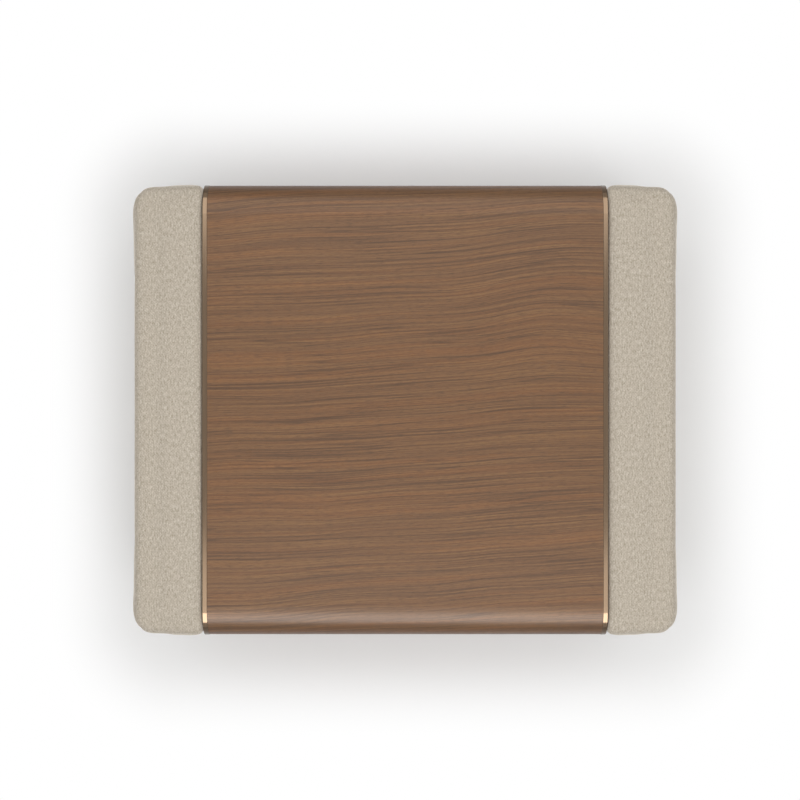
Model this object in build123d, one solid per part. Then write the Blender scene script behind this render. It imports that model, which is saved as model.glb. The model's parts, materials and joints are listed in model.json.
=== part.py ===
from build123d import *
import os

# Backless bench: a plywood carcass under a moulded walnut wrap with bronze edge trims, an upholstered
# bolster bolted to each end, and a recessed steel base on four levelling glides.
# X runs along the bench, Y from the front (-Y) to the back, Z up. The origin is on the floor, under the
# middle of the bench. All sizes are in millimetres.

# Overall size
bench_width = 760.0
bench_depth = 630.0
bench_height = 430.0

# Walnut wrap: one moulded sheet over the front, the seat and the back
wrap_thickness = 18.0
bend_radius = 43.0  # outside face
wrap_foot_easing = 1.5

# Edge trims: flat bar bent round both edges of the wrap
trim_width = 7.0
trim_proud = 0.5
trim_overlap = 1.5  # past the wrap's inside face
trim_easing = 0.8

# Carcass boards and timber
panel_thickness = 18.0
panel_corner_clearance = 5.0  # its corner's radius past the wrap's inside bend
bearer_width = 30.0
bearer_height = 60.0
outer_bearer_inset = 125.0  # from the bench front or back to the middle of a bearer
stretcher_height = 70.0
corner_block_leg = 40.0

# Bolsters: board, foam, wadding and fabric cover
bolster_width = 99.0
cover_thickness = 1.5
cover_return = 40.0  # how far the cover turns in over the board
wadding_thickness = 6.0
edge_foam = 12.0  # foam over the edges of the bolster board
bolster_board_thickness = 15.0
layer_gap = 0.3
bolster_corner_radius = 28.0
bolster_top_radius = 14.0
bolster_bottom_radius = 10.0
bolster_inner_radius = 4.0
spacer_margin = 5.0  # round the spacer board, inside the cover's edge

# Bolster bolts, with washers and tee nuts
bolt_radius = 4.0
bolt_clearance = 0.5
bolt_head_height = 5.3
bolt_head_flats = 13.0
bolt_end_out = 6.0  # past the tee nut's flange
washer_radius = 12.0
washer_thickness = 2.0
tee_nut_barrel_radius = 5.4
tee_nut_barrel_length = 11.0
tee_nut_flange_radius = 11.0
tee_nut_flange_thickness = 1.5
tee_nut_pocket_gap = 3.0  # round the flange
tee_nut_pocket_depth = 14.0
bolt_inset_y = 130.0  # from the bench front or back
bolt_inset_low = 70.0  # from the bottom of the body
bolt_inset_high = 110.0  # from the seat

# Wood screws: shank radius, head radius and head height
trim_screw = (1.75, 3.5, 2.2)
trim_screw_length = 28.0
carcass_screw = (2.5, 5.0, 3.0)
carcass_screw_length = 50.0
wrap_screw = (2.5, 5.0, 3.0)
wrap_screw_tip_cover = 6.0  # wood left past its tip
base_screw = (2.5, 5.0, 3.0)
base_screw_tip_cover = 4.0
hole_clearance = 0.1
counterbore_gap = 1.5  # round a head
screw_end_inset = 60.0  # from the end of a row of screws to its first screw

# Steel base frame
base_inset = 45.0  # from the bench's faces
rail_height = 40.0
rail_width = 20.0
rail_wall = 2.0
rail_corner_radius = 3.0  # outside, along the tube's edges
cross_rail_x = 150.0
base_screw_clearance = 0.25
base_access_gap = 1.0  # round a screw's head, in the tube's lower wall
end_cap_flange = 2.0
end_cap_plug = 10.0
end_cap_fit = 0.2

# Levelling glides: an M8 stem in a threaded insert, turning in a pad
pad_radius = 16.0
pad_height = 4.9
pad_chamfer = 1.2
pad_lip = 0.9
pad_floor = 1.4
glide_gap = 0.3
stem_radius = 4.0
stem_hex_flats = 13.0
stem_hex_height = 3.5
stem_neck_radius = 3.0
stem_disc_radius = 6.0
stem_top_gap = 5.0
insert_fit = 0.08  # radial, round the stem
insert_body_radius = 5.4
insert_flange_radius = 7.0
insert_flange = 1.0
insert_bulge_radius = 6.2
insert_bulge_height = 4.0
insert_length = 15.0
glide_end_inset = 35.0  # from the end of a rail to its glide

# Places that follow from the sizes
half_width = bench_width / 2
half_depth = bench_depth / 2
trim_outer_x = half_width - bolster_width
trim_inner_x = trim_outer_x - trim_width
trim_depth = trim_proud + wrap_thickness + trim_overlap
wrap_inner_y = half_depth - wrap_thickness
wrap_inner_z = bench_height - wrap_thickness
rail_bottom = pad_height + glide_gap + stem_hex_height + glide_gap + insert_flange
body_bottom = rail_bottom + rail_height
panel_inner_x = trim_inner_x - panel_thickness
board_top = body_bottom + panel_thickness
bearer_bottom = wrap_inner_z - bearer_height
bearer_rows = (-half_depth + outer_bearer_inset, 0.0, half_depth - outer_bearer_inset)
stretcher_inner_y = wrap_inner_y - panel_thickness
stretcher_top = board_top + stretcher_height
bolt_hole_radius = bolt_radius + bolt_clearance
bolster_board_x = trim_outer_x + cover_thickness
bolster_board_outer_x = bolster_board_x + bolster_board_thickness
foam_inset = cover_thickness + layer_gap + wadding_thickness + layer_gap
board_inset = foam_inset + edge_foam
bolt_places = [
    (y, z)
    for y in (-half_depth + bolt_inset_y, half_depth - bolt_inset_y)
    for z in (body_bottom + bolt_inset_low, bench_height - bolt_inset_high)
]
rail_x = half_width - base_inset - rail_width / 2
rail_y = half_depth - base_inset - rail_width / 2
rail_end_x = half_width - base_inset
side_rail_length = 2 * (rail_y - rail_width / 2)
glide_x = rail_end_x - glide_end_inset
glides = {
    "front_left": (-glide_x, -rail_y),
    "front_right": (glide_x, -rail_y),
    "rear_left": (-glide_x, rail_y),
    "rear_right": (glide_x, rail_y),
}


# Helpers


def span(low, high):
    """Box between two opposite corners."""
    size = [b - a for a, b in zip(low, high)]
    middle = [(a + b) / 2 for a, b in zip(low, high)]
    return Pos(*middle) * Box(*size)


def aim(shape, place, direction):
    """Turns a shape drawn along +Z to point along direction, with its origin at place."""
    return Plane(origin=place, z_dir=direction).location * shape


def rod(radius, start, end):
    """Cylinder along Z between two heights."""
    return Pos(0, 0, (start + end) / 2) * Cylinder(radius, end - start)


def both_sides(shape):
    """A shape on the right side and its mirror image on the left."""
    return [shape, mirror(shape, about=Plane.YZ)]


def row(first, last, count):
    """Evenly spaced places from first to last."""
    return [first + (last - first) * i / (count - 1) for i in range(count)]


def cut(shape, tools):
    """Takes every tool out of a shape, one after another."""
    for tool in tools:
        shape = shape - tool
    return shape


def save(name, *shapes):
    solids = [solid for shape in shapes for solid in shape.solids()]
    export_step(Compound(solids), f"parts/{name}.step")


# Fasteners, drawn along +Z with the head's outer face at the origin


def countersunk_screw(size, length):
    shank_radius, head_radius, head_height = size
    tip = 2 * shank_radius
    outline = Polyline(
        (0, 0),
        (head_radius, 0),
        (shank_radius, head_height),
        (shank_radius, length - tip),
        (0, length),
        close=True,
    )
    return revolve(Plane.XZ * make_face(outline), Axis.Z)


def countersunk_hole(size, length):
    shank_radius, head_radius, head_height = size
    sink = Pos(0, 0, head_height / 2) * Cone(
        head_radius + hole_clearance, shank_radius + hole_clearance, head_height
    )
    return sink + rod(shank_radius + hole_clearance, 0, length)


def pan_screw(size, length):
    """Its head stands below the origin, and its shank runs up from there."""
    shank_radius, head_radius, head_height = size
    tip = 2 * shank_radius
    shank = rod(shank_radius, 0, length - tip)
    point = Pos(0, 0, length - tip / 2) * Cone(shank_radius, 0, tip)
    return rod(head_radius, -head_height, 0) + shank + point


# Where the screws go: place and direction of each


def trim_screw_places():
    depth_middle = trim_depth / 2 - trim_proud
    last_y = half_depth - 2 * screw_end_inset
    seat = [(y, bench_height - depth_middle) for y in row(-last_y, last_y, 3)]
    heights = row(body_bottom + screw_end_inset, bench_height - 1.5 * screw_end_inset, 3)
    legs = [(side * (half_depth - depth_middle), z) for side in (-1, 1) for z in heights]
    return [((trim_outer_x, y, z), (-1, 0, 0)) for y, z in seat + legs]


def carcass_screw_places():
    bearers = [(y, bearer_bottom + bearer_height / 2) for y in bearer_rows]
    stretchers = [
        (side * (wrap_inner_y - panel_thickness / 2), z)
        for side in (-1, 1)
        for z in (board_top + stretcher_height / 4, board_top + stretcher_height * 3 / 4)
    ]
    through_sides = [((trim_inner_x, y, z), (-1, 0, 0)) for y, z in bearers + stretchers]
    last_y = wrap_inner_y - 2 * screw_end_inset
    under_sides = [
        ((trim_inner_x - panel_thickness / 2, y, body_bottom), (0, 0, 1))
        for y in row(-last_y, last_y, 3)
    ]
    return through_sides + under_sides


def seat_screw_places():
    """Up through the bearers into the seat, from the bottom of a counterbore."""
    head_z = bench_height - wrap_screw_tip_cover - wrap_screw_length()
    return [((x, y, head_z), (0, 0, 1)) for y in bearer_rows for x in (-cross_rail_x, cross_rail_x)]


def wrap_screw_length():
    return panel_thickness + wrap_thickness - wrap_screw_tip_cover


def leg_screw_places():
    """Outward through the stretchers into the wrap's front and back legs."""
    height = board_top + stretcher_height / 2
    ends = panel_inner_x - 1.5 * screw_end_inset
    return [
        ((x, side * stretcher_inner_y, height), (0, side, 0))
        for side in (-1, 1)
        for x in row(-ends, ends, 3)
    ]


def front_rail_screw_x():
    ends = trim_inner_x - screw_end_inset
    return row(-ends, ends, 3)


def cross_rail_screw_y():
    return (-half_depth / 3, half_depth / 3)


def base_screw_places():
    height = body_bottom - rail_wall
    front_and_rear = [(x, side * rail_y) for side in (-1, 1) for x in front_rail_screw_x()]
    cross = [(side * cross_rail_x, y) for side in (-1, 1) for y in cross_rail_screw_y()]
    return [((x, y, height), (0, 0, 1)) for x, y in front_and_rear + cross]


# Walnut wrap and edge trims


def inverted_u(x, half_span, top, radius):
    """Path from the front foot, over the seat, to the back foot."""
    return FilletPolyline(
        (x, -half_span, body_bottom),
        (x, -half_span, top),
        (x, half_span, top),
        (x, half_span, body_bottom),
        radius=radius,
    )


def bent_bar(x, width, depth, half_span, top, radius, easing):
    """A rectangular bar bent along the inverted U, with its outer edges eased."""
    section = Pos(0, depth / 2) * Rectangle(width, depth)
    outer_corners = section.vertices().group_by(Axis.Y)[0]
    section = fillet(outer_corners, easing)
    start = Plane(origin=(x, -half_span, body_bottom), x_dir=(1, 0, 0), z_dir=(0, 0, 1))
    return sweep(start * section, path=inverted_u(x, half_span, top, radius))


def walnut_wrap():
    def slab(half_y, top, radius):
        block = span((-trim_inner_x, -half_y, body_bottom), (trim_inner_x, half_y, top))
        return fillet(block.edges().filter_by(Axis.X).group_by(Axis.Z)[-1], radius)

    shell = slab(half_depth, bench_height, bend_radius) - slab(
        wrap_inner_y, wrap_inner_z, bend_radius - wrap_thickness
    )
    feet = shell.edges().filter_by(Axis.X).group_by(Axis.Z)[0]
    shell = fillet(feet.group_by(Axis.Y)[0] + feet.group_by(Axis.Y)[-1], wrap_foot_easing)
    trim_holes = [
        aim(rod(trim_screw[0] + hole_clearance, 0, trim_screw_length), place, direction)
        for place, direction in trim_screw_places()
    ]
    pilots = [
        aim(rod(wrap_screw[0] + hole_clearance, 0, wrap_screw_length()), place, direction)
        for place, direction in seat_screw_places() + leg_screw_places()
    ]
    return cut(shell, [side for hole in trim_holes for side in both_sides(hole)] + pilots)


def edge_trim():
    bar = bent_bar(
        (trim_inner_x + trim_outer_x) / 2,
        trim_width,
        trim_depth,
        half_depth + trim_proud,
        bench_height + trim_proud,
        bend_radius + trim_proud,
        trim_easing,
    )
    holes = [
        aim(countersunk_hole(trim_screw, trim_screw_length), place, direction)
        for place, direction in trim_screw_places()
    ]
    return cut(bar, holes)


# Carcass


def side_panel():
    panel = span((panel_inner_x, -wrap_inner_y, board_top), (trim_inner_x, wrap_inner_y, wrap_inner_z))
    corner_radius = bend_radius - wrap_thickness + panel_corner_clearance
    panel = fillet(panel.edges().filter_by(Axis.X).group_by(Axis.Z)[-1], corner_radius)
    screw_holes = [
        aim(countersunk_hole(carcass_screw, carcass_screw_length), place, direction)
        for place, direction in carcass_screw_places()
    ]
    bolt_holes = [
        aim(rod(bolt_hole_radius, 0, panel_thickness), (panel_inner_x, y, z), (1, 0, 0))
        for y, z in bolt_places
    ]
    return cut(panel, screw_holes + bolt_holes)


def base_board():
    board = span((-trim_inner_x, -wrap_inner_y, body_bottom), (trim_inner_x, wrap_inner_y, board_top))
    panel_screw_holes = [
        aim(countersunk_hole(carcass_screw, carcass_screw_length), place, direction)
        for place, direction in carcass_screw_places()
        if direction[2] == 1
    ]
    rail_screw_holes = [
        aim(rod(base_screw[0] + hole_clearance, 0, base_screw_length()), place, direction)
        for place, direction in base_screw_places()
    ]
    panel_screw_holes = [side for hole in panel_screw_holes for side in both_sides(hole)]
    return cut(board, panel_screw_holes + rail_screw_holes)


def screws_into_ends():
    """Holes for the carcass screws in the ends of whatever runs between the side panels."""
    return [
        side
        for place, direction in carcass_screw_places()
        if direction[2] == 0
        for side in both_sides(
            aim(rod(carcass_screw[0] + hole_clearance, 0, carcass_screw_length), place, direction)
        )
    ]


def seat_bearer(y):
    bearer = span(
        (-panel_inner_x, y - bearer_width / 2, bearer_bottom),
        (panel_inner_x, y + bearer_width / 2, wrap_inner_z),
    )
    shank_holes = [
        aim(rod(wrap_screw[0] + hole_clearance, 0, wrap_screw_length()), place, direction)
        for place, direction in seat_screw_places()
    ]
    counterbores = [
        Pos(place[0], place[1], 0) * rod(wrap_screw[1] + counterbore_gap, bearer_bottom, place[2])
        for place, direction in seat_screw_places()
    ]
    return cut(bearer, screws_into_ends() + shank_holes + counterbores)


def stretcher(side):
    edges_y = sorted((side * stretcher_inner_y, side * wrap_inner_y))
    board = span(
        (-panel_inner_x, edges_y[0], board_top),
        (panel_inner_x, edges_y[1], stretcher_top),
    )
    leg_holes = [
        aim(rod(wrap_screw[0] + hole_clearance, 0, wrap_screw_length()), place, direction)
        for place, direction in leg_screw_places()
    ]
    return cut(board, screws_into_ends() + leg_holes)


def corner_block():
    """Triangular glue block in the rear right corner, between a side panel and the rear stretcher."""
    outline = Polyline(
        (panel_inner_x, stretcher_inner_y),
        (panel_inner_x - corner_block_leg, stretcher_inner_y),
        (panel_inner_x, stretcher_inner_y - corner_block_leg),
        close=True,
    )
    return extrude(Pos(0, 0, board_top) * make_face(outline), stretcher_height)


# Bolsters, drawn on the right side


def bolster_block(inset, inner_x):
    """The rounded block of a bolster, drawn in by inset on every side but its inner one."""
    block = span(
        (inner_x, -half_depth + inset, body_bottom + inset),
        (half_width - inset, half_depth - inset, bench_height - inset),
    )
    uprights = block.edges().filter_by(Axis.Z).group_by(Axis.X)[-1]
    block = fillet(uprights, bolster_corner_radius - inset)
    for face, radius in ((-1, bolster_top_radius - inset), (0, bolster_bottom_radius - inset)):
        if radius > 0:
            inner_edge_first = block.faces().sort_by(Axis.Z)[face].edges().sort_by(Axis.X)
            block = fillet(inner_edge_first[1:], radius)
    if bolster_inner_radius > inset:
        inner_edges = block.faces().sort_by(Axis.X)[0].edges()
        block = fillet(inner_edges, bolster_inner_radius - inset)
    return block


def cover_window(margin):
    """Box through the open part of the cover's inner face, drawn in by margin."""
    inset = cover_return + margin
    return span(
        (trim_inner_x, -half_depth + inset, body_bottom + inset),
        (bolster_board_x, half_depth - inset, bench_height - inset),
    )


def bolster_cover():
    outside = bolster_block(0, trim_outer_x)
    inside = bolster_block(cover_thickness, bolster_board_x)
    return outside - inside - cover_window(0)


def bolster_wadding():
    """Open on its inner side, so the hollow runs out past the trim."""
    outside = bolster_block(cover_thickness + layer_gap, bolster_board_x + layer_gap)
    inside = bolster_block(foam_inset - layer_gap, trim_inner_x)
    return outside - inside


def plain_board():
    return span(
        (bolster_board_x, -half_depth + board_inset, body_bottom + board_inset),
        (bolster_board_outer_x, half_depth - board_inset, bench_height - board_inset),
    )


def bolster_board():
    barrel_hole = rod(tee_nut_barrel_radius + hole_clearance, 0, bolster_board_thickness)
    holes = [aim(barrel_hole, (bolster_board_x, y, z), (1, 0, 0)) for y, z in bolt_places]
    return cut(plain_board(), holes)


def bolster_foam():
    pocket = rod(tee_nut_flange_radius + tee_nut_pocket_gap, 0, tee_nut_pocket_depth)
    pockets = [aim(pocket, (bolster_board_outer_x, y, z), (1, 0, 0)) for y, z in bolt_places]
    return cut(bolster_block(foam_inset, bolster_board_x), [plain_board()] + pockets)


def spacer_board():
    board = cover_window(spacer_margin)
    holes = [
        aim(rod(bolt_hole_radius, 0, panel_thickness), (trim_inner_x, y, z), (1, 0, 0))
        for y, z in bolt_places
    ]
    return cut(board, holes)


def bolster_bolt():
    """Drawn along +Z from under its head."""
    length = (
        washer_thickness
        + bolster_board_outer_x
        + tee_nut_flange_thickness
        + bolt_end_out
        - panel_inner_x
    )
    head = extrude(RegularPolygon(bolt_head_flats / 2, 6, major_radius=False), -bolt_head_height)
    return head + rod(bolt_radius, 0, length)


def washer():
    return rod(washer_radius, 0, washer_thickness) - rod(bolt_hole_radius, 0, washer_thickness)


def tee_nut():
    """Its flange sits on the origin's plane, and its barrel runs back from there."""
    flange = rod(tee_nut_flange_radius, 0, tee_nut_flange_thickness)
    barrel = rod(tee_nut_barrel_radius, -tee_nut_barrel_length, 0)
    bore = rod(bolt_radius + hole_clearance, -tee_nut_barrel_length, tee_nut_flange_thickness)
    return flange + barrel - bore


# Steel base


def base_screw_length():
    return rail_wall + panel_thickness - base_screw_tip_cover


def rounded_bar(length, inset):
    """Bar along X with the tube's outline, drawn in by inset."""
    bar = Box(length, rail_width - 2 * inset, rail_height - 2 * inset)
    return fillet(bar.edges().filter_by(Axis.X), rail_corner_radius - inset)


def rail_tube(length):
    """Rectangular tube along X."""
    return rounded_bar(length, 0) - rounded_bar(length, rail_wall)


def base_screw_holes():
    shank_hole = rod(base_screw[0] + base_screw_clearance, body_bottom - rail_wall, body_bottom)
    access_hole = rod(base_screw[1] + base_access_gap, rail_bottom, rail_bottom + rail_wall)
    places = [Pos(place[0], place[1], 0) for place, direction in base_screw_places()]
    return [place * hole for place in places for hole in (shank_hole, access_hole)]


def long_rail(side):
    """Front or rear rail, which also holds two glides."""
    tube = Pos(0, side * rail_y, rail_bottom + rail_height / 2) * rail_tube(2 * rail_end_x)
    insert_hole = rod(insert_body_radius + hole_clearance, rail_bottom, rail_bottom + rail_wall)
    insert_holes = [Pos(x, y, 0) * insert_hole for x, y in glides.values()]
    return cut(tube, insert_holes + base_screw_holes())


def short_rail(x):
    """Rail between the front and rear rails."""
    tube = Pos(x, 0, rail_bottom + rail_height / 2) * Rot(0, 0, 90) * rail_tube(side_rail_length)
    return cut(tube, base_screw_holes())


def rail_end_cap(side):
    """Plug for the right end of a long rail."""
    flange = Pos(end_cap_flange / 2, 0, 0) * rounded_bar(end_cap_flange, 0)
    outer_edges = flange.faces().sort_by(Axis.X)[-1].edges()
    flange = fillet(outer_edges, end_cap_flange / 2)
    plug = Pos(-end_cap_plug / 2, 0, 0) * rounded_bar(end_cap_plug, rail_wall + end_cap_fit)
    return Pos(rail_end_x, side * rail_y, rail_bottom + rail_height / 2) * (flange + plug)


# Levelling glides, drawn standing on the origin


def glide_pad():
    body = rod(pad_radius, 0, pad_height)
    body = chamfer(body.edges().group_by(Axis.Z)[-1], pad_chamfer)
    socket = rod(stem_disc_radius + glide_gap, pad_floor, pad_height - pad_lip)
    mouth = rod(stem_neck_radius + glide_gap, pad_height - pad_lip, pad_height)
    return body - socket - mouth


def glide_stem():
    hex_bottom = pad_height + glide_gap
    disc = rod(stem_disc_radius, pad_floor + glide_gap, pad_height - pad_lip - glide_gap)
    neck = rod(stem_neck_radius, pad_floor + glide_gap, hex_bottom)
    flats = Pos(0, 0, hex_bottom) * extrude(
        RegularPolygon(stem_hex_flats / 2, 6, major_radius=False), stem_hex_height
    )
    top = body_bottom - rail_wall - stem_top_gap
    shank = rod(stem_radius, hex_bottom, top)
    shank = chamfer(shank.edges().group_by(Axis.Z)[-1], stem_radius / 4)
    return disc + neck + flats + shank


def glide_insert():
    """Rivet nut: a flange under the rail's wall, and a bulge above it."""
    flange = rod(insert_flange_radius, rail_bottom - insert_flange, rail_bottom)
    body = rod(insert_body_radius, rail_bottom, rail_bottom + insert_length)
    bulge_bottom = rail_bottom + rail_wall
    bulge = rod(insert_bulge_radius, bulge_bottom, bulge_bottom + insert_bulge_height)
    bore = rod(stem_radius + insert_fit, rail_bottom - insert_flange, rail_bottom + insert_length)
    return flange + body + bulge - bore


def main():
    os.makedirs("parts", exist_ok=True)

    save("walnut_wrap", walnut_wrap())
    save("base_board", base_board())
    for name, y in zip(("front", "middle", "rear"), bearer_rows):
        save(f"seat_bearer_{name}", seat_bearer(y))
    for name, side in (("front", -1), ("rear", 1)):
        save(f"{name}_stretcher", stretcher(side))
        save(f"base_{name}_rail", long_rail(side))

    pieces_by_side = {
        "edge_trim": edge_trim(),
        "side_panel": side_panel(),
        "spacer_board": spacer_board(),
        "bolster_board": bolster_board(),
        "bolster_foam": bolster_foam(),
        "bolster_wadding": bolster_wadding(),
        "bolster_cover": bolster_cover(),
    }
    for name, piece in pieces_by_side.items():
        right, left = both_sides(piece)
        save(f"right_{name}", right)
        save(f"left_{name}", left)
    for name, side in (("left", -1), ("right", 1)):
        save(f"base_{name}_rail", short_rail(side * rail_x))
        save(f"base_{name}_cross_rail", short_rail(side * cross_rail_x))

    blocks = both_sides(corner_block())
    save("corner_blocks", *blocks, *[mirror(block, about=Plane.XZ) for block in blocks])
    caps = [rail_end_cap(-1), rail_end_cap(1)]
    save("rail_end_caps", *[side for cap in caps for side in both_sides(cap)])

    bolts, washers, tee_nuts = [], [], []
    for y, z in bolt_places:
        under_head = (panel_inner_x - washer_thickness, y, z)
        bolts += both_sides(aim(bolster_bolt(), under_head, (1, 0, 0)))
        washers += both_sides(aim(washer(), under_head, (1, 0, 0)))
        tee_nuts += both_sides(aim(tee_nut(), (bolster_board_outer_x, y, z), (1, 0, 0)))
    save("bolster_bolts", *bolts)
    save("bolster_washers", *washers)
    save("bolster_tee_nuts", *tee_nuts)

    trim_screws = [
        aim(countersunk_screw(trim_screw, trim_screw_length), place, direction)
        for place, direction in trim_screw_places()
    ]
    save("edge_trim_screws", *[side for screw in trim_screws for side in both_sides(screw)])
    carcass_screws = [
        aim(countersunk_screw(carcass_screw, carcass_screw_length), place, direction)
        for place, direction in carcass_screw_places()
    ]
    save("carcass_screws", *[side for screw in carcass_screws for side in both_sides(screw)])
    wrap_screws = [
        aim(pan_screw(wrap_screw, wrap_screw_length()), place, direction)
        for place, direction in seat_screw_places() + leg_screw_places()
    ]
    save("wrap_screws", *wrap_screws)
    base_screws = [
        aim(pan_screw(base_screw, base_screw_length()), place, direction)
        for place, direction in base_screw_places()
    ]
    save("base_screws", *base_screws)

    save("glide_inserts", *[Pos(x, y, 0) * glide_insert() for x, y in glides.values()])
    for name, (x, y) in glides.items():
        save(f"glide_pad_{name}", Pos(x, y, 0) * glide_pad())
        save(f"glide_stem_{name}", Pos(x, y, 0) * glide_stem())


main()
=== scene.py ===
import json
import math

import bmesh
import bpy
from mathutils import Matrix, Vector
from mathutils.bvhtree import BVHTree


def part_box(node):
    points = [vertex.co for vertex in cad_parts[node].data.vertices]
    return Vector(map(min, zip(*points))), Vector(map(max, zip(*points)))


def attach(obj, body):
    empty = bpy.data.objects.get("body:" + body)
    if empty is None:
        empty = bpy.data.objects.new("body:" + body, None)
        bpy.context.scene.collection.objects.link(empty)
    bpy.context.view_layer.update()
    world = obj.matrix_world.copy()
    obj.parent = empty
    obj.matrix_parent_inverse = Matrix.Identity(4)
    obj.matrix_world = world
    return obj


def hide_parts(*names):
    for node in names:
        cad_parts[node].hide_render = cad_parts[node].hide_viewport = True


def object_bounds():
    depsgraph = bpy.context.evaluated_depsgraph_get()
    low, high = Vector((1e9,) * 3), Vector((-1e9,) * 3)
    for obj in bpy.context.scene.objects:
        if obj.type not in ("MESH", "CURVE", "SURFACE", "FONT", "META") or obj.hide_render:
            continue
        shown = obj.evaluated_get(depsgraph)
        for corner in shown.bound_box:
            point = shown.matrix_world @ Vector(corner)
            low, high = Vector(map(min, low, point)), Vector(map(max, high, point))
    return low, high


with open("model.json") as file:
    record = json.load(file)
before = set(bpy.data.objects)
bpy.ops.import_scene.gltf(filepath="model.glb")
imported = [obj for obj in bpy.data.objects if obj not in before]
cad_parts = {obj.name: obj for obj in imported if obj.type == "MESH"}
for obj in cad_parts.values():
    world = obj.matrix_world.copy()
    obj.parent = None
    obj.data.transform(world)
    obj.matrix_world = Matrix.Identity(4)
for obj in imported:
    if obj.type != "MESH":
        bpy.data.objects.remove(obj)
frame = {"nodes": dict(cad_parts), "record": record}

# Backless bench: a walnut wrap between two upholstered bolsters, with bronze trims and a recessed steel
# base. Metres, +Z up, -Y at the front. Every place comes from the CAD boxes.

mm = 0.001
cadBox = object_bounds()
nodes = frame["nodes"]
benchBody = "bench"
wrapLow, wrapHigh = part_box("walnut_wrap")
seatTop = wrapHigh.z


# Small helpers

def linear(hexColour):  # sRGB hex to linear RGBA
    parts = [int(hexColour[i:i + 2], 16) / 255 for i in (0, 2, 4)]
    return tuple(c / 12.92 if c <= 0.04045 else ((c + 0.055) / 1.055) ** 2.4 for c in parts) + (1.0,)


def addNode(tree, kind, inputs=None, **settings):
    # a node given as an input stands for its first output
    node = tree.nodes.new("ShaderNode" + kind)
    for name, value in settings.items():
        setattr(node, name, value)
    for name, value in (inputs or {}).items():
        if isinstance(value, bpy.types.Node):
            value = value.outputs[0]
        if isinstance(value, bpy.types.NodeSocket):
            tree.links.new(value, node.inputs[name])
        else:
            node.inputs[name].default_value = value
    return node


def newMaterial(name):
    material = bpy.data.materials.new(name)
    material.use_nodes = True
    material.node_tree.nodes.clear()
    return material, material.node_tree


def finishMaterial(tree, shader):
    addNode(tree, "OutputMaterial", {"Surface": shader.outputs[0]})


def setRamp(node, stops):
    # each stop has a position, and a hex colour or a plain level
    ramp = node.color_ramp
    while len(ramp.elements) < len(stops):
        ramp.elements.new(0.5)
    for element, (position, colour) in zip(ramp.elements, stops):
        element.position = position
        element.color = linear(colour) if isinstance(colour, str) else (colour, colour, colour, 1.0)


def addToScene(name, data):
    obj = bpy.data.objects.new(name, data)
    bpy.context.scene.collection.objects.link(obj)
    return obj


def newPiece(name, mesh, material):
    piece = addToScene(name, mesh)
    mesh.materials.clear()
    mesh.materials.append(material)
    return piece


# Camera: straight above the bench, with a long portrait lens

camera = {
    "lens": 85.0,
    "sensor": 36.0,
    "clipEnd": 50.0,
    "aboveSeat": 2.613,
    "offset": (-7.2 * mm, 14.0 * mm),
}


def addCamera():
    data = bpy.data.cameras.new("camera")
    data.lens = camera["lens"]
    data.sensor_width = camera["sensor"]
    data.clip_end = camera["clipEnd"]
    obj = addToScene("camera", data)
    obj.location = (*camera["offset"], seatTop + camera["aboveSeat"])
    bpy.context.scene.camera = obj


addCamera()
print("camera set")


# Studio: an overhead softbox, reflection cards at the front and the back, and a pale floor

studio = {
    "worldStrength": 0.42,
    # name; degrees from straight up; degrees round from the back; distance; width; height; level; what sees it
    "softboxes": [
        ("overheadSoftbox", 0.0, 0.0, 2.8, 2.7, 2.7, 2.3, "diffuse"),
        ("frontRightSoftbox", 50.0, 150.0, 3.2, 1.4, 1.4, 1.2, "diffuse"),
        ("backCard", 40.0, 0.0, 2.9, 2.4, 3.5, 2.1, "glossy"),
        ("frontUpperCard", 21.0, 180.0, 2.9, 2.4, 1.3, 2.2, "glossy"),
        ("frontCard", 53.0, 180.0, 2.9, 2.4, 1.95, 7.0, "glossy"),
    ],
    "floorSize": 12.0,
    "floorDrop": 0.2 * mm,  # keeps the glides' pads from lying in the floor's own plane
    "floorColour": "f2f2f2",
    "floorLift": 0.12,  # light that the camera alone sees in the floor, out of 1
    "clearFrom": 0.055,  # the floor turns plain white between these distances from the bench
    "clearTo": 0.200,
    "clearMiddle": (0.010, -0.016, 0.0),
}


def addSoftbox(name, fromUp, roundFromBack, distance, width, height, level, seenBy):
    data = bpy.data.lights.new(name, "AREA")
    data.shape = "RECTANGLE"
    data.size, data.size_y = width, height
    data.energy = level * math.pi * width * height
    obj = addToScene(name, data)
    tilt, turn = math.radians(fromUp), math.radians(roundFromBack)
    away = Vector((math.sin(tilt) * math.sin(turn), math.sin(tilt) * math.cos(turn), math.cos(tilt)))
    obj.location = Vector((0, 0, seatTop)) + away * distance
    # the softbox's height runs up and down, its width across
    across = Vector((math.cos(turn), -math.sin(turn), 0))
    up = away.cross(across)
    obj.rotation_euler = Matrix((across, up, away)).transposed().to_euler()
    obj.visible_camera = False
    obj.visible_diffuse = seenBy != "glossy"
    obj.visible_glossy = seenBy != "diffuse"


def addWorld():
    # plain white for the camera and for what gloss and glass show, dimmer as light that falls on things
    world = bpy.data.worlds.new("studioWorld")
    bpy.context.scene.world = world
    world.use_nodes = True
    tree = world.node_tree
    tree.nodes.clear()
    path = addNode(tree, "LightPath")
    seen = path.outputs["Is Camera Ray"]
    for ray in ("Is Glossy Ray", "Is Transmission Ray"):
        seen = addNode(tree, "Math", {0: seen, 1: path.outputs[ray]}, operation="MAXIMUM").outputs[0]
    strength = addNode(tree, "MapRange", {"Value": seen, "To Min": studio["worldStrength"], "To Max": 1.0})
    background = addNode(tree, "Background", {"Color": linear("ffffff"), "Strength": strength})
    addNode(tree, "OutputWorld", {"Surface": background})


# Floor, rolled with matt white emulsion: it holds the bench's shadow and turns plain white further out

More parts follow.
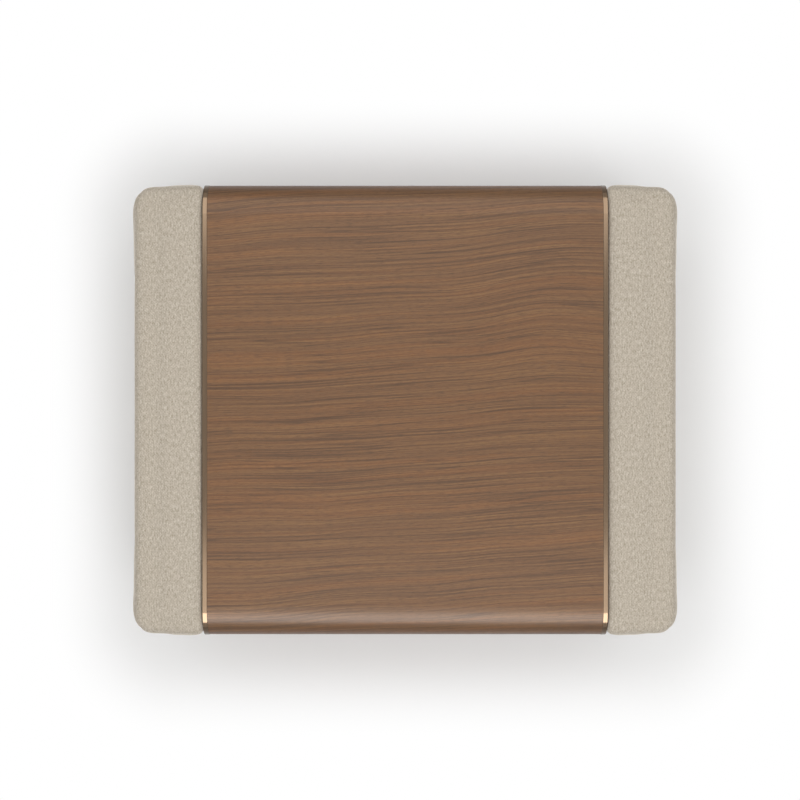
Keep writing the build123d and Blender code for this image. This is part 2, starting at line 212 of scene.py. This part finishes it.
def floorMaterial():
    material, tree = newMaterial("mattEmulsionFloor")
    paint = addNode(tree, "BsdfDiffuse", {"Color": linear(studio["floorColour"])})
    glow = addNode(tree, "Emission", {"Color": linear("ffffff"), "Strength": studio["floorLift"]})
    lit = addNode(tree, "AddShader", {0: paint, 1: glow})
    white = addNode(tree, "Emission", {"Color": linear("ffffff"), "Strength": 1.0})
    place = addNode(tree, "TexCoord")
    centred = addNode(tree, "VectorMath", {0: place.outputs["Object"], 1: studio["clearMiddle"]},
                      operation="SUBTRACT")
    beside = addNode(tree, "VectorMath", {0: centred}, operation="ABSOLUTE")
    half = (cadBox[1][0], cadBox[1][1], 0.0)
    beside = addNode(tree, "VectorMath", {0: beside, 1: half}, operation="SUBTRACT")
    beside = addNode(tree, "VectorMath", {0: beside, 1: (0.0, 0.0, 0.0)}, operation="MAXIMUM")
    reach = addNode(tree, "VectorMath", {0: beside}, operation="LENGTH")
    fade = addNode(tree, "MapRange", {"Value": reach.outputs["Value"], "From Min": studio["clearFrom"],
                                      "From Max": studio["clearTo"]}, interpolation_type="SMOOTHSTEP")
    shown = addNode(tree, "MixShader", {0: fade, 1: lit, 2: white})
    path = addNode(tree, "LightPath")
    either = addNode(tree, "MixShader", {0: path.outputs["Is Camera Ray"], 1: paint, 2: shown})
    finishMaterial(tree, either)
    return material


def addFloor():
    mesh = bpy.data.meshes.new("studioFloor")
    half = studio["floorSize"] / 2
    corners = [(-half, -half, 0), (half, -half, 0), (half, half, 0), (-half, half, 0)]
    mesh.from_pydata(corners, [], [(0, 1, 2, 3)])
    floor = addToScene("studioFloor", mesh)
    mesh.materials.append(floorMaterial())
    floor.location.z = -studio["floorDrop"]


addWorld()
addFloor()
for softbox in studio["softboxes"]:
    addSoftbox(*softbox)
bpy.context.scene.view_settings.view_transform = "Standard"
print("studio lit")


# Walnut veneer, sliced, pressed round the bends and sprayed with satin lacquer: brown with fine dark lines,
# warmer stripes and short pores, and a soft sheen on the bends

walnut = {
    "bendRadius": 43.0 * mm,
    "dark": "553920",
    "middle": "6e4c2d",
    "light": "805b35",
    "warm": "88582d",
    "vein": "442e1c",
    "lineWidth": 2.5 * mm,  # growth lines, two to three across a centimetre
    "lineLength": 320.0 * mm,
    "bandWidth": 11.0 * mm,
    "bandLength": 500.0 * mm,
    "bandStrength": 0.4,
    "veinWidth": 6.0 * mm,
    "veinLength": 420.0 * mm,
    "veinStrength": 0.62,
    "poreWidth": 0.9 * mm,  # coarser than the real 0.2 mm, so that they show
    "poreLength": 14.0 * mm,
    "poreStrength": 0.5,
    "rise": 0.055,  # how the grain climbs along the bench
    "waver": 16.0 * mm,
    "waverSize": (330.0 * mm, 260.0 * mm),
    "archPlace": (0.190, 0.120),  # along the bench, and across the grain
    "archReach": (0.080, 0.150),
    "archHeight": 11.0 * mm,
    # where each layer is read from the noise
    "waverSeed": 3.1, "lineSeed": 0.0, "bandSeed": 7.7, "veinSeed": 4.3, "poreSeed": 9.9,
    "roughness": 0.30,
    "ior": 1.5,
    "gloss": 0.32,
}


def acrossGrain(tree, split):
    # distance across the grain, unrolled over both bends
    radius = walnut["bendRadius"]
    bendY, bendZ = wrapHigh.y - radius, wrapHigh.z - radius
    side = addNode(tree, "Math", {0: split.outputs["Y"]}, operation="SIGN")
    away = addNode(tree, "Math", {0: split.outputs["Y"]}, operation="ABSOLUTE")
    flat = addNode(tree, "Math", {0: away, 1: bendY}, operation="MINIMUM")
    out = addNode(tree, "Math", {0: away, 1: bendY}, operation="SUBTRACT")
    out = addNode(tree, "Math", {0: out, 1: 0.0}, operation="MAXIMUM")
    up = addNode(tree, "Math", {0: split.outputs["Z"], 1: bendZ}, operation="SUBTRACT")
    above = addNode(tree, "Math", {0: up, 1: 0.01 * mm}, operation="MAXIMUM")
    turn = addNode(tree, "Math", {0: out, 1: above}, operation="ARCTAN2")
    arc = addNode(tree, "Math", {0: turn, 1: radius}, operation="MULTIPLY")
    below = addNode(tree, "Math", {0: up, 1: 0.0}, operation="MINIMUM")
    drop = addNode(tree, "Math", {0: arc, 1: below}, operation="SUBTRACT")
    whole = addNode(tree, "Math", {0: flat, 1: drop}, operation="ADD")
    return addNode(tree, "Math", {0: whole, 1: side}, operation="MULTIPLY")


def stretchedNoise(tree, along, cross, length, width, seed, detail, rough=0.5):
    # noise drawn out along the grain
    a = addNode(tree, "Math", {0: along, 1: 1 / length}, operation="MULTIPLY")
    b = addNode(tree, "Math", {0: cross, 1: 1 / width}, operation="MULTIPLY")
    place = addNode(tree, "CombineXYZ", {"X": a, "Y": b, "Z": seed})
    return addNode(tree, "TexNoise", {"Vector": place, "Scale": 1.0, "Detail": detail, "Roughness": rough})


def growthRings(tree, along, cross):
    # the growth lines climb, waver, and arch near one end
    w = walnut
    climb = addNode(tree, "Math", {0: along, 1: w["rise"]}, operation="MULTIPLY")
    waver = stretchedNoise(tree, along, cross, *w["waverSize"], w["waverSeed"], 1.5)
    waver = addNode(tree, "Math", {0: waver, 1: 0.5}, operation="SUBTRACT")
    waver = addNode(tree, "Math", {0: waver, 1: 2 * w["waver"]}, operation="MULTIPLY")
    far = []
    for value, middle, reach in zip((along, cross), w["archPlace"], w["archReach"]):
        offset = addNode(tree, "Math", {0: value, 1: middle}, operation="SUBTRACT")
        offset = addNode(tree, "Math", {0: offset, 1: 1 / reach}, operation="MULTIPLY")
        far.append(addNode(tree, "Math", {0: offset, 1: offset}, operation="MULTIPLY"))
    total = addNode(tree, "Math", {0: far[0], 1: far[1]}, operation="ADD")
    total = addNode(tree, "Math", {0: total, 1: -1.0}, operation="MULTIPLY")
    arch = addNode(tree, "Math", {0: total}, operation="EXPONENT")
    arch = addNode(tree, "Math", {0: arch, 1: w["archHeight"]}, operation="MULTIPLY")
    ring = cross
    for shift in (climb, waver, arch):
        ring = addNode(tree, "Math", {0: ring, 1: shift}, operation="SUBTRACT")
    return ring


def walnutMaterial():
    w = walnut
    material, tree = newMaterial("walnutVeneerSatin")
    place = addNode(tree, "TexCoord")
    split = addNode(tree, "SeparateXYZ", {0: place.outputs["Object"]})
    along = split.outputs["X"]
    ring = growthRings(tree, along, acrossGrain(tree, split))

    lines = stretchedNoise(tree, along, ring, w["lineLength"], w["lineWidth"], w["lineSeed"], 2.0, 0.62)
    lineColour = addNode(tree, "ValToRGB", {"Fac": lines})
    setRamp(lineColour, [(0.30, w["dark"]), (0.47, w["middle"]), (0.68, w["light"])])
    bands = stretchedNoise(tree, along, ring, w["bandLength"], w["bandWidth"], w["bandSeed"], 2.0)
    warmth = addNode(tree, "ValToRGB", {"Fac": bands})
    setRamp(warmth, [(0.48, 0.0), (0.66, w["bandStrength"])])
    warmed = addNode(tree, "Mix", {0: warmth, 6: lineColour, 7: linear(w["warm"])}, data_type="RGBA")
    veins = stretchedNoise(tree, along, ring, w["veinLength"], w["veinWidth"], w["veinSeed"], 1.0)
    vein = addNode(tree, "Math", {0: veins, 1: 0.5}, operation="SUBTRACT")
    vein = addNode(tree, "Math", {0: vein}, operation="ABSOLUTE")
    veinShade = addNode(tree, "ValToRGB", {"Fac": vein})
    setRamp(veinShade, [(0.0, w["veinStrength"]), (0.035, 0.0)])
    veined = addNode(tree, "Mix", {0: veinShade, 6: warmed.outputs[2], 7: linear(w["vein"])},
                     data_type="RGBA")
    pores = stretchedNoise(tree, along, ring, w["poreLength"], w["poreWidth"], w["poreSeed"], 2.0, 0.6)
    poreShade = addNode(tree, "ValToRGB", {"Fac": pores})
    setRamp(poreShade, [(0.36, w["poreStrength"]), (0.5, 0.0)])
    colour = addNode(tree, "Mix", {0: poreShade, 6: veined.outputs[2], 7: linear(w["vein"])},
                     data_type="RGBA")

    # lacquer fills the pores nearly level, and lies a little rougher over them
    rough = addNode(tree, "MapRange", {"Value": pores, "From Min": 0.3, "From Max": 0.7,
                                       "To Min": w["roughness"] + 0.10, "To Max": w["roughness"] - 0.04})
    bump = addNode(tree, "Bump", {"Strength": 0.35, "Distance": 0.12 * mm, "Height": pores})
    shader = addNode(tree, "BsdfPrincipled", {"Base Color": colour.outputs[2], "Roughness": rough,
                                              "IOR": w["ior"], "Specular IOR Level": w["gloss"],
                                              "Normal": bump})
    finishMaterial(tree, shader)
    return material


# Bronze anodised aluminium bar, fine ground and dyed: dark and mirror-like along the flats, with crisp
# highlights on the bends

bronze = {
    "dark": "6a5949",
    "light": "746250",
    "markPitch": 0.4 * mm,  # grinding marks along the bar, coarser than real ones
    "markLength": 1 / 12,
    "roughness": (0.10, 0.17),
}


def bronzeMaterial():
    material, tree = newMaterial("bronzeAnodisedAluminium")
    place = addNode(tree, "TexCoord")
    scale = (1 / bronze["markPitch"], 1 / bronze["markLength"], 1 / bronze["markLength"])
    marks = addNode(tree, "Mapping", {"Vector": place.outputs["Object"], "Scale": scale})
    grind = addNode(tree, "TexNoise", {"Vector": marks, "Scale": 1.0, "Detail": 2.0})
    tone = addNode(tree, "ValToRGB", {"Fac": grind})
    setRamp(tone, [(0.3, bronze["dark"]), (0.7, bronze["light"])])
    low, high = bronze["roughness"]
    rough = addNode(tree, "MapRange", {"Value": grind, "To Min": low, "To Max": high})
    bump = addNode(tree, "Bump", {"Strength": 0.05, "Distance": 0.02 * mm, "Height": grind})
    shader = addNode(tree, "BsdfPrincipled", {"Base Color": tone, "Metallic": 1.0, "Roughness": rough,
                                              "Normal": bump})
    finishMaterial(tree, shader)
    return material


# Wool blend, woven from oatmeal melange yarn: a fine mottled weave with painted shade in the gaps between
# yarns, matt face on, paler where it turns away

wool = {
    "dark": "a99e8c",
    "middle": "c1b6a6",
    "light": "d6cdbf",
    "fleck": "978c74",
    "fleckStrength": 0.45,
    "yarn": 2.0 * mm,  # real yarn is 1.2 mm apart; drawn coarser so that it shows
    "wander": 1.1 * mm,  # how far the yarns stray, over the wander size
    "wanderSize": 14.0 * mm,
    "slub": (2.2 * mm, 6.5 * mm),
    "mottle": 2.1 * mm,
    "gapPaintedShade": 0.90,  # painted shade: the gaps between yarns are a little darker
    "sheen": 1.0,
    "sheenRoughness": 0.35,
    "sheenTint": "fff6ea",
    "roughness": 0.95,
    "ior": 1.45,
    "gloss": 0.2,
}


def woolMaterial():
    material, tree = newMaterial("woolBlendWoven")
    place = addNode(tree, "TexCoord")
    drift = addNode(tree, "TexNoise", {"Vector": place.outputs["UV"], "Scale": 1 / wool["wanderSize"],
                                       "Detail": 2.0})
    shift = addNode(tree, "VectorMath", {0: drift.outputs["Color"], 1: (0.5, 0.5, 0.5)},
                    operation="SUBTRACT")
    shift = addNode(tree, "VectorMath", {0: shift, "Scale": wool["wander"]}, operation="SCALE")
    cloth = addNode(tree, "VectorMath", {0: place.outputs["UV"], 1: shift}, operation="ADD")
    threads = addNode(tree, "VectorMath", {0: cloth, "Scale": math.pi / wool["yarn"]}, operation="SCALE")
    split = addNode(tree, "SeparateXYZ", {0: threads})
    warp = addNode(tree, "Math", {0: split.outputs["X"]}, operation="SINE")
    weft = addNode(tree, "Math", {0: split.outputs["Y"]}, operation="SINE")
    over = addNode(tree, "Math", {0: warp, 1: weft}, operation="MULTIPLY")
    height = addNode(tree, "MapRange", {"Value": over, "From Min": -1.0})

    slubScale = (1 / wool["slub"][0], 1 / wool["slub"][1], 1.0)
    slub = addNode(tree, "Mapping", {"Vector": cloth, "Scale": slubScale})
    slubs = addNode(tree, "TexNoise", {"Vector": slub, "Scale": 1.0, "Detail": 2.0, "Roughness": 0.6})
    mottle = addNode(tree, "TexNoise", {"Vector": cloth, "Scale": 1 / wool["mottle"], "Detail": 2.0,
                                        "Roughness": 0.7})
    both = addNode(tree, "Math", {0: slubs, 1: mottle}, operation="ADD")
    tone = addNode(tree, "MapRange", {"Value": both, "From Min": 0.70, "From Max": 1.30})
    colour = addNode(tree, "ValToRGB", {"Fac": tone})
    setRamp(colour, [(0.05, wool["dark"]), (0.5, wool["middle"]), (0.95, wool["light"])])
    flecks = addNode(tree, "TexNoise", {"Vector": slub, "Scale": 1.7, "Detail": 1.0})
    fleck = addNode(tree, "ValToRGB", {"Fac": flecks})
    setRamp(fleck, [(0.66, 0.0), (0.74, wool["fleckStrength"])])
    flecked = addNode(tree, "Mix", {0: fleck, 6: colour, 7: linear(wool["fleck"])}, data_type="RGBA")
    # painted shade: the colour is darkened where the weave pattern has gaps between yarns
    gap = addNode(tree, "MapRange", {"Value": over, "From Min": -1.0, "From Max": 0.4,
                                     "To Min": wool["gapPaintedShade"], "To Max": 1.0})
    shaded = addNode(tree, "Mix", {0: 1.0, 6: flecked.outputs[2], 7: gap}, data_type="RGBA",
                     blend_type="MULTIPLY")

    relief = addNode(tree, "Math", {0: height, 1: mottle}, operation="ADD")
    bump = addNode(tree, "Bump", {"Strength": 0.55, "Distance": 0.35 * mm, "Height": relief})
    shader = addNode(tree, "BsdfPrincipled", {
        "Base Color": shaded.outputs[2], "Roughness": wool["roughness"], "Sheen Weight": wool["sheen"],
        "Sheen Roughness": wool["sheenRoughness"], "Sheen Tint": linear(wool["sheenTint"]),
        "Normal": bump, "IOR": wool["ior"], "Specular IOR Level": wool["gloss"]})
    finishMaterial(tree, shader)
    return material


# Birch plywood, rotary cut and sanded: pale, with faint grain, and dark glue lines where the edge shows

birchPly = {
    "colours": ("c3a073", "d4b387", "dfc39b"),
    "grainScale": (3.0, 55.0, 55.0),  # lines about 9 mm apart
    "ply": 1.4 * mm,
    "glueShade": 0.72,
    "roughness": 0.62,
}


def birchPlyMaterial():
    material, tree = newMaterial("birchPlywoodSanded")
    place = addNode(tree, "TexCoord")
    stretch = addNode(tree, "Mapping", {"Vector": place.outputs["Object"], "Scale": birchPly["grainScale"]})
    grain = addNode(tree, "TexNoise", {"Vector": stretch, "Scale": 2.0, "Detail": 4.0, "Distortion": 0.6})
    face = addNode(tree, "ValToRGB", {"Fac": grain})
    setRamp(face, list(zip((0.3, 0.55, 0.75), birchPly["colours"])))
    # plies lie level, so their glue lines show on upright faces
    split = addNode(tree, "SeparateXYZ", {0: place.outputs["Object"]})
    ply = addNode(tree, "Math", {0: split.outputs["Z"], 1: math.pi / birchPly["ply"]}, operation="MULTIPLY")
    ply = addNode(tree, "Math", {0: ply}, operation="SINE")
    glue = addNode(tree, "MapRange", {"Value": ply, "From Min": -1.0, "From Max": 1.0,
                                      "To Min": birchPly["glueShade"], "To Max": 1.0})
    normal = addNode(tree, "NewGeometry")
    facing = addNode(tree, "SeparateXYZ", {0: normal.outputs["True Normal"]})
    level = addNode(tree, "Math", {0: facing.outputs["Z"]}, operation="ABSOLUTE")
    edge = addNode(tree, "Math", {0: level, 1: 0.5}, operation="LESS_THAN")
    shade = addNode(tree, "Mix", {0: edge, 6: linear("ffffff"), 7: glue}, data_type="RGBA")
    colour = addNode(tree, "Mix", {0: 1.0, 6: face, 7: shade.outputs[2]}, data_type="RGBA",
                     blend_type="MULTIPLY")
    bump = addNode(tree, "Bump", {"Strength": 0.2, "Distance": 0.1 * mm, "Height": grain})
    shader = addNode(tree, "BsdfPrincipled", {"Base Color": colour.outputs[2],
                                              "Roughness": birchPly["roughness"], "Normal": bump})
    finishMaterial(tree, shader)
    return material


# Solid birch, planed: plain pale boards

solidBirch = {
    "colours": ("c9a77a", "ddc097"),
    "grainScale": (4.0, 70.0, 70.0),  # lines about 9 mm apart
    "roughness": 0.6,
}


def solidBirchMaterial():
    material, tree = newMaterial("solidBirchPlaned")
    place = addNode(tree, "TexCoord")
    stretch = addNode(tree, "Mapping", {"Vector": place.outputs["Object"],
                                        "Scale": solidBirch["grainScale"]})
    grain = addNode(tree, "TexNoise", {"Vector": stretch, "Scale": 1.6, "Detail": 3.0})
    face = addNode(tree, "ValToRGB", {"Fac": grain})
    setRamp(face, list(zip((0.3, 0.7), solidBirch["colours"])))
    bump = addNode(tree, "Bump", {"Strength": 0.2, "Distance": 0.1 * mm, "Height": grain})
    shader = addNode(tree, "BsdfPrincipled", {"Base Color": face, "Roughness": solidBirch["roughness"],
                                              "Normal": bump})
    finishMaterial(tree, shader)
    return material


# Mild steel tube, polyester powder coated in dark bronze: an even film with a fine orange peel

powderCoat = {
    "colours": ("3a322b", "423931"),
    "peel": 1.2 * mm,
    "roughness": 0.42,
    "ior": 1.5,
}


def powderCoatMaterial():
    material, tree = newMaterial("powderCoatedSteel")
    place = addNode(tree, "TexCoord")
    peel = addNode(tree, "TexNoise", {"Vector": place.outputs["Object"], "Scale": 1 / powderCoat["peel"],
                                      "Detail": 2.0})
    patch = addNode(tree, "TexNoise", {"Vector": place.outputs["Object"], "Scale": 9.0, "Detail": 2.0})
    tone = addNode(tree, "ValToRGB", {"Fac": patch})
    setRamp(tone, list(zip((0.35, 0.65), powderCoat["colours"])))
    bump = addNode(tree, "Bump", {"Strength": 0.25, "Distance": 0.06 * mm, "Height": peel})
    shader = addNode(tree, "BsdfPrincipled", {"Base Color": tone, "Roughness": powderCoat["roughness"],
                                              "IOR": powderCoat["ior"], "Normal": bump})
    finishMaterial(tree, shader)
    return material


# Zinc plated steel, rolled and passivated: grey with a faint blue cast and a satin face

zinc = {
    "colours": ("a3a7ab", "b7bbbe"),
    "cloud": 3.0 * mm,
    "roughness": (0.26, 0.40),
}


def zincMaterial():
    material, tree = newMaterial("zincPlatedSteel")
    place = addNode(tree, "TexCoord")
    cloud = addNode(tree, "TexNoise", {"Vector": place.outputs["Object"], "Scale": 1 / zinc["cloud"],
                                       "Detail": 3.0})
    tone = addNode(tree, "ValToRGB", {"Fac": cloud})
    setRamp(tone, list(zip((0.35, 0.65), zinc["colours"])))
    low, high = zinc["roughness"]
    rough = addNode(tree, "MapRange", {"Value": cloud, "To Min": low, "To Max": high})
    shader = addNode(tree, "BsdfPrincipled", {"Base Color": tone, "Metallic": 1.0, "Roughness": rough})
    finishMaterial(tree, shader)
    return material


# Black nylon, injection moulded: near black, with a light spark-eroded grain

nylon = {
    "colours": ("1c1c1d", "242425"),
    "grain": 0.6 * mm,
    "roughness": 0.55,
    "ior": 1.53,
}


def nylonMaterial():
    material, tree = newMaterial("blackNylonMoulded")
    place = addNode(tree, "TexCoord")
    grain = addNode(tree, "TexNoise", {"Vector": place.outputs["Object"], "Scale": 1 / nylon["grain"],
                                       "Detail": 2.0})
    tone = addNode(tree, "ValToRGB", {"Fac": grain})
    setRamp(tone, list(zip((0.3, 0.7), nylon["colours"])))
    bump = addNode(tree, "Bump", {"Strength": 0.3, "Distance": 0.05 * mm, "Height": grain})
    shader = addNode(tree, "BsdfPrincipled", {"Base Color": tone, "Roughness": nylon["roughness"],
                                              "IOR": nylon["ior"], "Normal": bump})
    finishMaterial(tree, shader)
    return material


# Bonded polyester sewing thread, twisted: a shade darker than the cloth, with a slight shine

thread = {
    "colours": ("9a8f7d", "b3a896"),
    "ply": 0.8 * mm,
    "roughness": 0.5,
}


def threadMaterial():
    material, tree = newMaterial("polyesterThreadTwisted")
    place = addNode(tree, "TexCoord")
    ply = addNode(tree, "TexNoise", {"Vector": place.outputs["Object"], "Scale": 1 / thread["ply"],
                                     "Detail": 1.0})
    tone = addNode(tree, "ValToRGB", {"Fac": ply})
    setRamp(tone, list(zip((0.35, 0.65), thread["colours"])))
    shader = addNode(tree, "BsdfPrincipled", {"Base Color": tone, "Roughness": thread["roughness"]})
    finishMaterial(tree, shader)
    return material


materials = {
    "walnut_veneered_ply": walnutMaterial(),
    "bronze_anodised_aluminium": bronzeMaterial(),
    "woven_upholstery": woolMaterial(),
    "birch_ply": birchPlyMaterial(),
    "solid_birch": solidBirchMaterial(),
    "powder_coated_steel": powderCoatMaterial(),
    "zinc_plated_steel": zincMaterial(),
    "black_plastic": nylonMaterial(),
}
stitchThread = threadMaterial()
# the foam and the wadding are hidden by the bolsters that stand for them
for subpart in frame["record"]["subparts"]:
    material = materials.get(subpart["material_slot"])
    if material:
        mesh = nodes[subpart["node"]].data
        mesh.materials.clear()
        mesh.materials.append(material)
print("materials made")


# Bolsters: woven covers pulled tight over foam, with a sewn corner seam at each outer corner

bolster = {
    "voxel": 5.0 * mm,
    "startInset": 2.0 * mm,  # how much smaller the cloth starts, so that it can swell to size
    "innerGap": 0.3 * mm,
    "smoothing": (0.5, 2),  # factor and rounds, after the remesh
    "pressure": 4.0,
    "quality": 5,
    "tension": 40.0,
    "bending": 5.0,
    "frames": 20,
    "cap": 2.2 * mm,  # the furthest that a point may swell
    "pinnedEdge": 7.0 * mm,
    "cornerRadius": 28.0 * mm,
    "topRadius": 14.0 * mm,
    "fill": 0.95,
    "seamWidth": 2.6 * mm,
    "seamDepth": 1.6 * mm,
    "seamReach": 10.0 * mm,
    "seamFoot": 12.0 * mm,  # from the bolster's underside to the first stitch
    "seamFade": (6.0 * mm, 14.0 * mm),  # where the seam sinks away near the top, and over what height
}
stitch = {
    "pitch": 4.4 * mm,
    "length": 3.2 * mm,
    "radius": 0.35 * mm,
    "tip": 0.05 * mm,
    "bow": 0.25 * mm,  # how far its middle rises from its ends
    "sink": 0.1 * mm,
    "fromSeam": 4.5 * mm,
    "sides": 6,
    "rings": 7,
    "castFrom": 60.0 * mm,
}


def bolsterEnds(side):
    # a bolster's low and high corners, and which way is outwards along X
    low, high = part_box(f"{side}_bolster_cover")
    return low, high, 1 if low.x > 0 else -1


def startShape(side):
    # the cover's outer shape, drawn in a little; its inner face stays where it is screwed
    bm = bmesh.new()
    bm.from_mesh(nodes[f"{side}_bolster_cover"].data)
    hull = bmesh.ops.convex_hull(bm, input=bm.verts)
    spare = {v for v in hull["geom_interior"] + hull["geom_unused"] if isinstance(v, bmesh.types.BMVert)}
    bmesh.ops.delete(bm, geom=list(spare), context="VERTS")
    low, high, outward = bolsterEnds(side)
    middle = (low + high) / 2
    inset, gap = bolster["startInset"], bolster["innerGap"]
    size = high - low
    for v in bm.verts:
        part = (v.co.x - middle.x) * outward / size.x + 0.5  # 0 at the inner face, 1 at the outer
        inner = (low.x if outward > 0 else high.x) + outward * gap
        v.co.x = inner + outward * part * (size.x - gap - inset)
        v.co.y *= (size.y - 2 * inset) / size.y
        v.co.z = middle.z + (v.co.z - middle.z) * (size.z - 2 * inset) / size.z
    mesh = bpy.data.meshes.new(f"{side}Start")
    bm.to_mesh(mesh)
    bm.free()
    return mesh


def applyModifiers(obj):
    graph = bpy.context.evaluated_depsgraph_get()
    obj.data = bpy.data.meshes.new_from_object(obj.evaluated_get(graph))
    obj.modifiers.clear()


def swell(piece, side):
    # cloth over foam: pressure rounds the form, and the board side stays put
    start = [v.co.copy() for v in piece.data.vertices]
    low, high, outward = bolsterEnds(side)
    inner = low.x if outward > 0 else high.x
    held = [v.index for v in piece.data.vertices if abs(v.co.x - inner) < bolster["pinnedEdge"]]
    piece.vertex_groups.new(name="boardSide").add(held, 1.0, "REPLACE")
    cloth = piece.modifiers.new("cloth", "CLOTH")
    cloth.settings.vertex_group_mass = "boardSide"
    cloth.settings.use_pressure = True
    cloth.settings.uniform_pressure_force = bolster["pressure"]
    cloth.settings.effector_weights.gravity = 0.0
    cloth.settings.quality = bolster["quality"]
    cloth.settings.tension_stiffness = bolster["tension"]
    cloth.settings.bending_stiffness = bolster["bending"]
    cloth.point_cache.frame_end = bolster["frames"]
    for frameNumber in range(1, bolster["frames"] + 1):
        bpy.context.scene.frame_set(frameNumber)
    applyModifiers(piece)
    for vertex, began in zip(piece.data.vertices, start):
        moved = vertex.co - began
        if moved.length > bolster["cap"]:
            vertex.co = began + moved.normalized() * bolster["cap"]
    piece.vertex_groups.clear()
    bpy.context.scene.frame_set(1)


def cornerLine(side, end):
    # seen from above, the middle of an outer corner's round and the way that it faces
    low, high, outward = bolsterEnds(side)
    radius = bolster["cornerRadius"]
    x = (high.x if outward > 0 else low.x) - outward * radius
    outwards = Vector((outward, end, 0)).normalized()
    return Vector((x, end * (high.y - radius), 0)), outwards, Vector((-outwards.y, outwards.x, 0))


def pullSeams(mesh, side, seamTop):
    # the sewn corners pull in along their seams
    above, over = bolster["seamFade"]
    for end in (-1, 1):
        middle, outwards, along = cornerLine(side, end)
        for v in mesh.vertices:
            offset = Vector((v.co.x, v.co.y, 0)) - middle
            if offset.dot(outwards) < 0 or abs(offset.dot(along)) > bolster["seamReach"]:
                continue
            fade = min(max((seamTop + above - v.co.z) / over, 0), 1)
            near = math.exp(-(offset.dot(along) / bolster["seamWidth"]) ** 2)
            v.co -= outwards * near * fade * bolster["seamDepth"]


def layCloth(mesh, side):
    # one cloth runs over the top and down the four sides, cut at the upright corners
    low, high, _ = bolsterEnds(side)
    middle = (low + high) / 2
    layer = mesh.uv_layers.new(name="cloth")
    for face in mesh.polygons:
        facing = [abs(c) for c in face.normal]
        axis = facing.index(max(facing))
        away = [1 if c > m else -1 for c, m in zip(face.center, middle)]
        for loop in face.loop_indices:
            x, y, z = mesh.vertices[mesh.loops[loop].vertex_index].co
            drop = high.z - z
            if axis == 0:
                edge = high.x if away[0] > 0 else low.x
                place = (edge + away[0] * drop, y)
            elif axis == 1:
                place = (x, away[1] * (high.y + drop))
            else:
                place = (x, y)
            layer.data[loop].uv = place


def addStitch(bm, place, normal):
    # a short fat thread, thin at both ends, that bows out from the cloth
    across = normal.cross(Vector((0, 0, 1))).normalized()
    sides, last = stitch["sides"], stitch["rings"] - 1
    rings = []
    for step in range(stitch["rings"]):
        part = step / last
        thick = math.sqrt(max(1 - (2 * part - 1) ** 4, 0)) * stitch["radius"] + stitch["tip"]
        centre = place + Vector((0, 0, (part - 0.5) * stitch["length"]))
        centre += normal * (math.sin(part * math.pi) * stitch["bow"] - stitch["sink"])
        angles = [2 * math.pi * k / sides for k in range(sides)]
        rings.append([bm.verts.new(centre + (across * math.cos(a) + normal * math.sin(a)) * thick)
                      for a in angles])
    for a, b in zip(rings, rings[1:]):
        for k in range(sides):
            n = (k + 1) % sides
            bm.faces.new((a[k], a[n], b[n], b[k]))
    bm.faces.new(rings[0][::-1])
    bm.faces.new(rings[-1])


def addStitches(side, piece, foot, top):
    # a row of topstitching on each side of both corner seams, laid on the cloth
    bm = bmesh.new()
    corners = [v.co for v in piece.data.vertices]
    surface = BVHTree.FromPolygons(corners, [list(p.vertices) for p in piece.data.polygons])
    count = int((top - foot) / stitch["pitch"])
    for end in (-1, 1):
        middle, outwards, along = cornerLine(side, end)
        for row in (-1, 1):
            turn = row * stitch["fromSeam"] / bolster["cornerRadius"]
            away = outwards * math.cos(turn) + along * math.sin(turn)
            for i in range(count):
                z = foot + (i + 0.5) * stitch["pitch"]
                beyond = middle + away * stitch["castFrom"] + Vector((0, 0, z))
                hit, normal, _, _ = surface.ray_cast(beyond, -away)
                if hit is not None:
                    addStitch(bm, hit, normal)
    bmesh.ops.recalc_face_normals(bm, faces=bm.faces)
    mesh = bpy.data.meshes.new(f"{side}Stitches")
    bm.to_mesh(mesh)
    bm.free()
    for face in mesh.polygons:
        face.use_smooth = True
    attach(newPiece(f"{side}_bolster_stitches", mesh, stitchThread), benchBody)


def addBolster(side):
    piece = newPiece(f"{side}_bolster", startShape(side), materials["woven_upholstery"])
    remesh = piece.modifiers.new("remesh", "REMESH")
    remesh.mode = "VOXEL"
    remesh.voxel_size = bolster["voxel"]
    smooth = piece.modifiers.new("smooth", "SMOOTH")
    smooth.factor, smooth.iterations = bolster["smoothing"]
    applyModifiers(piece)
    swell(piece, side)
    subdivide = piece.modifiers.new("subdivide", "SUBSURF")
    subdivide.levels = subdivide.render_levels = 1
    applyModifiers(piece)
    low, high, _ = bolsterEnds(side)
    seamTop = high.z - bolster["topRadius"]
    pullSeams(piece.data, side, seamTop)
    layCloth(piece.data, side)
    for face in piece.data.polygons:
        face.use_smooth = True
    piece.data.materials.clear()
    piece.data.materials.append(materials["woven_upholstery"])
    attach(piece, benchBody)
    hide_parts(*[f"{side}_bolster_{layer}" for layer in ("cover", "wadding", "foam")])
    addStitches(side, piece, low.z + bolster["seamFoot"], seamTop - bolster["seamFade"][0])


for side in ("left", "right"):
    addBolster(side)
    print(f"{side} bolster made")
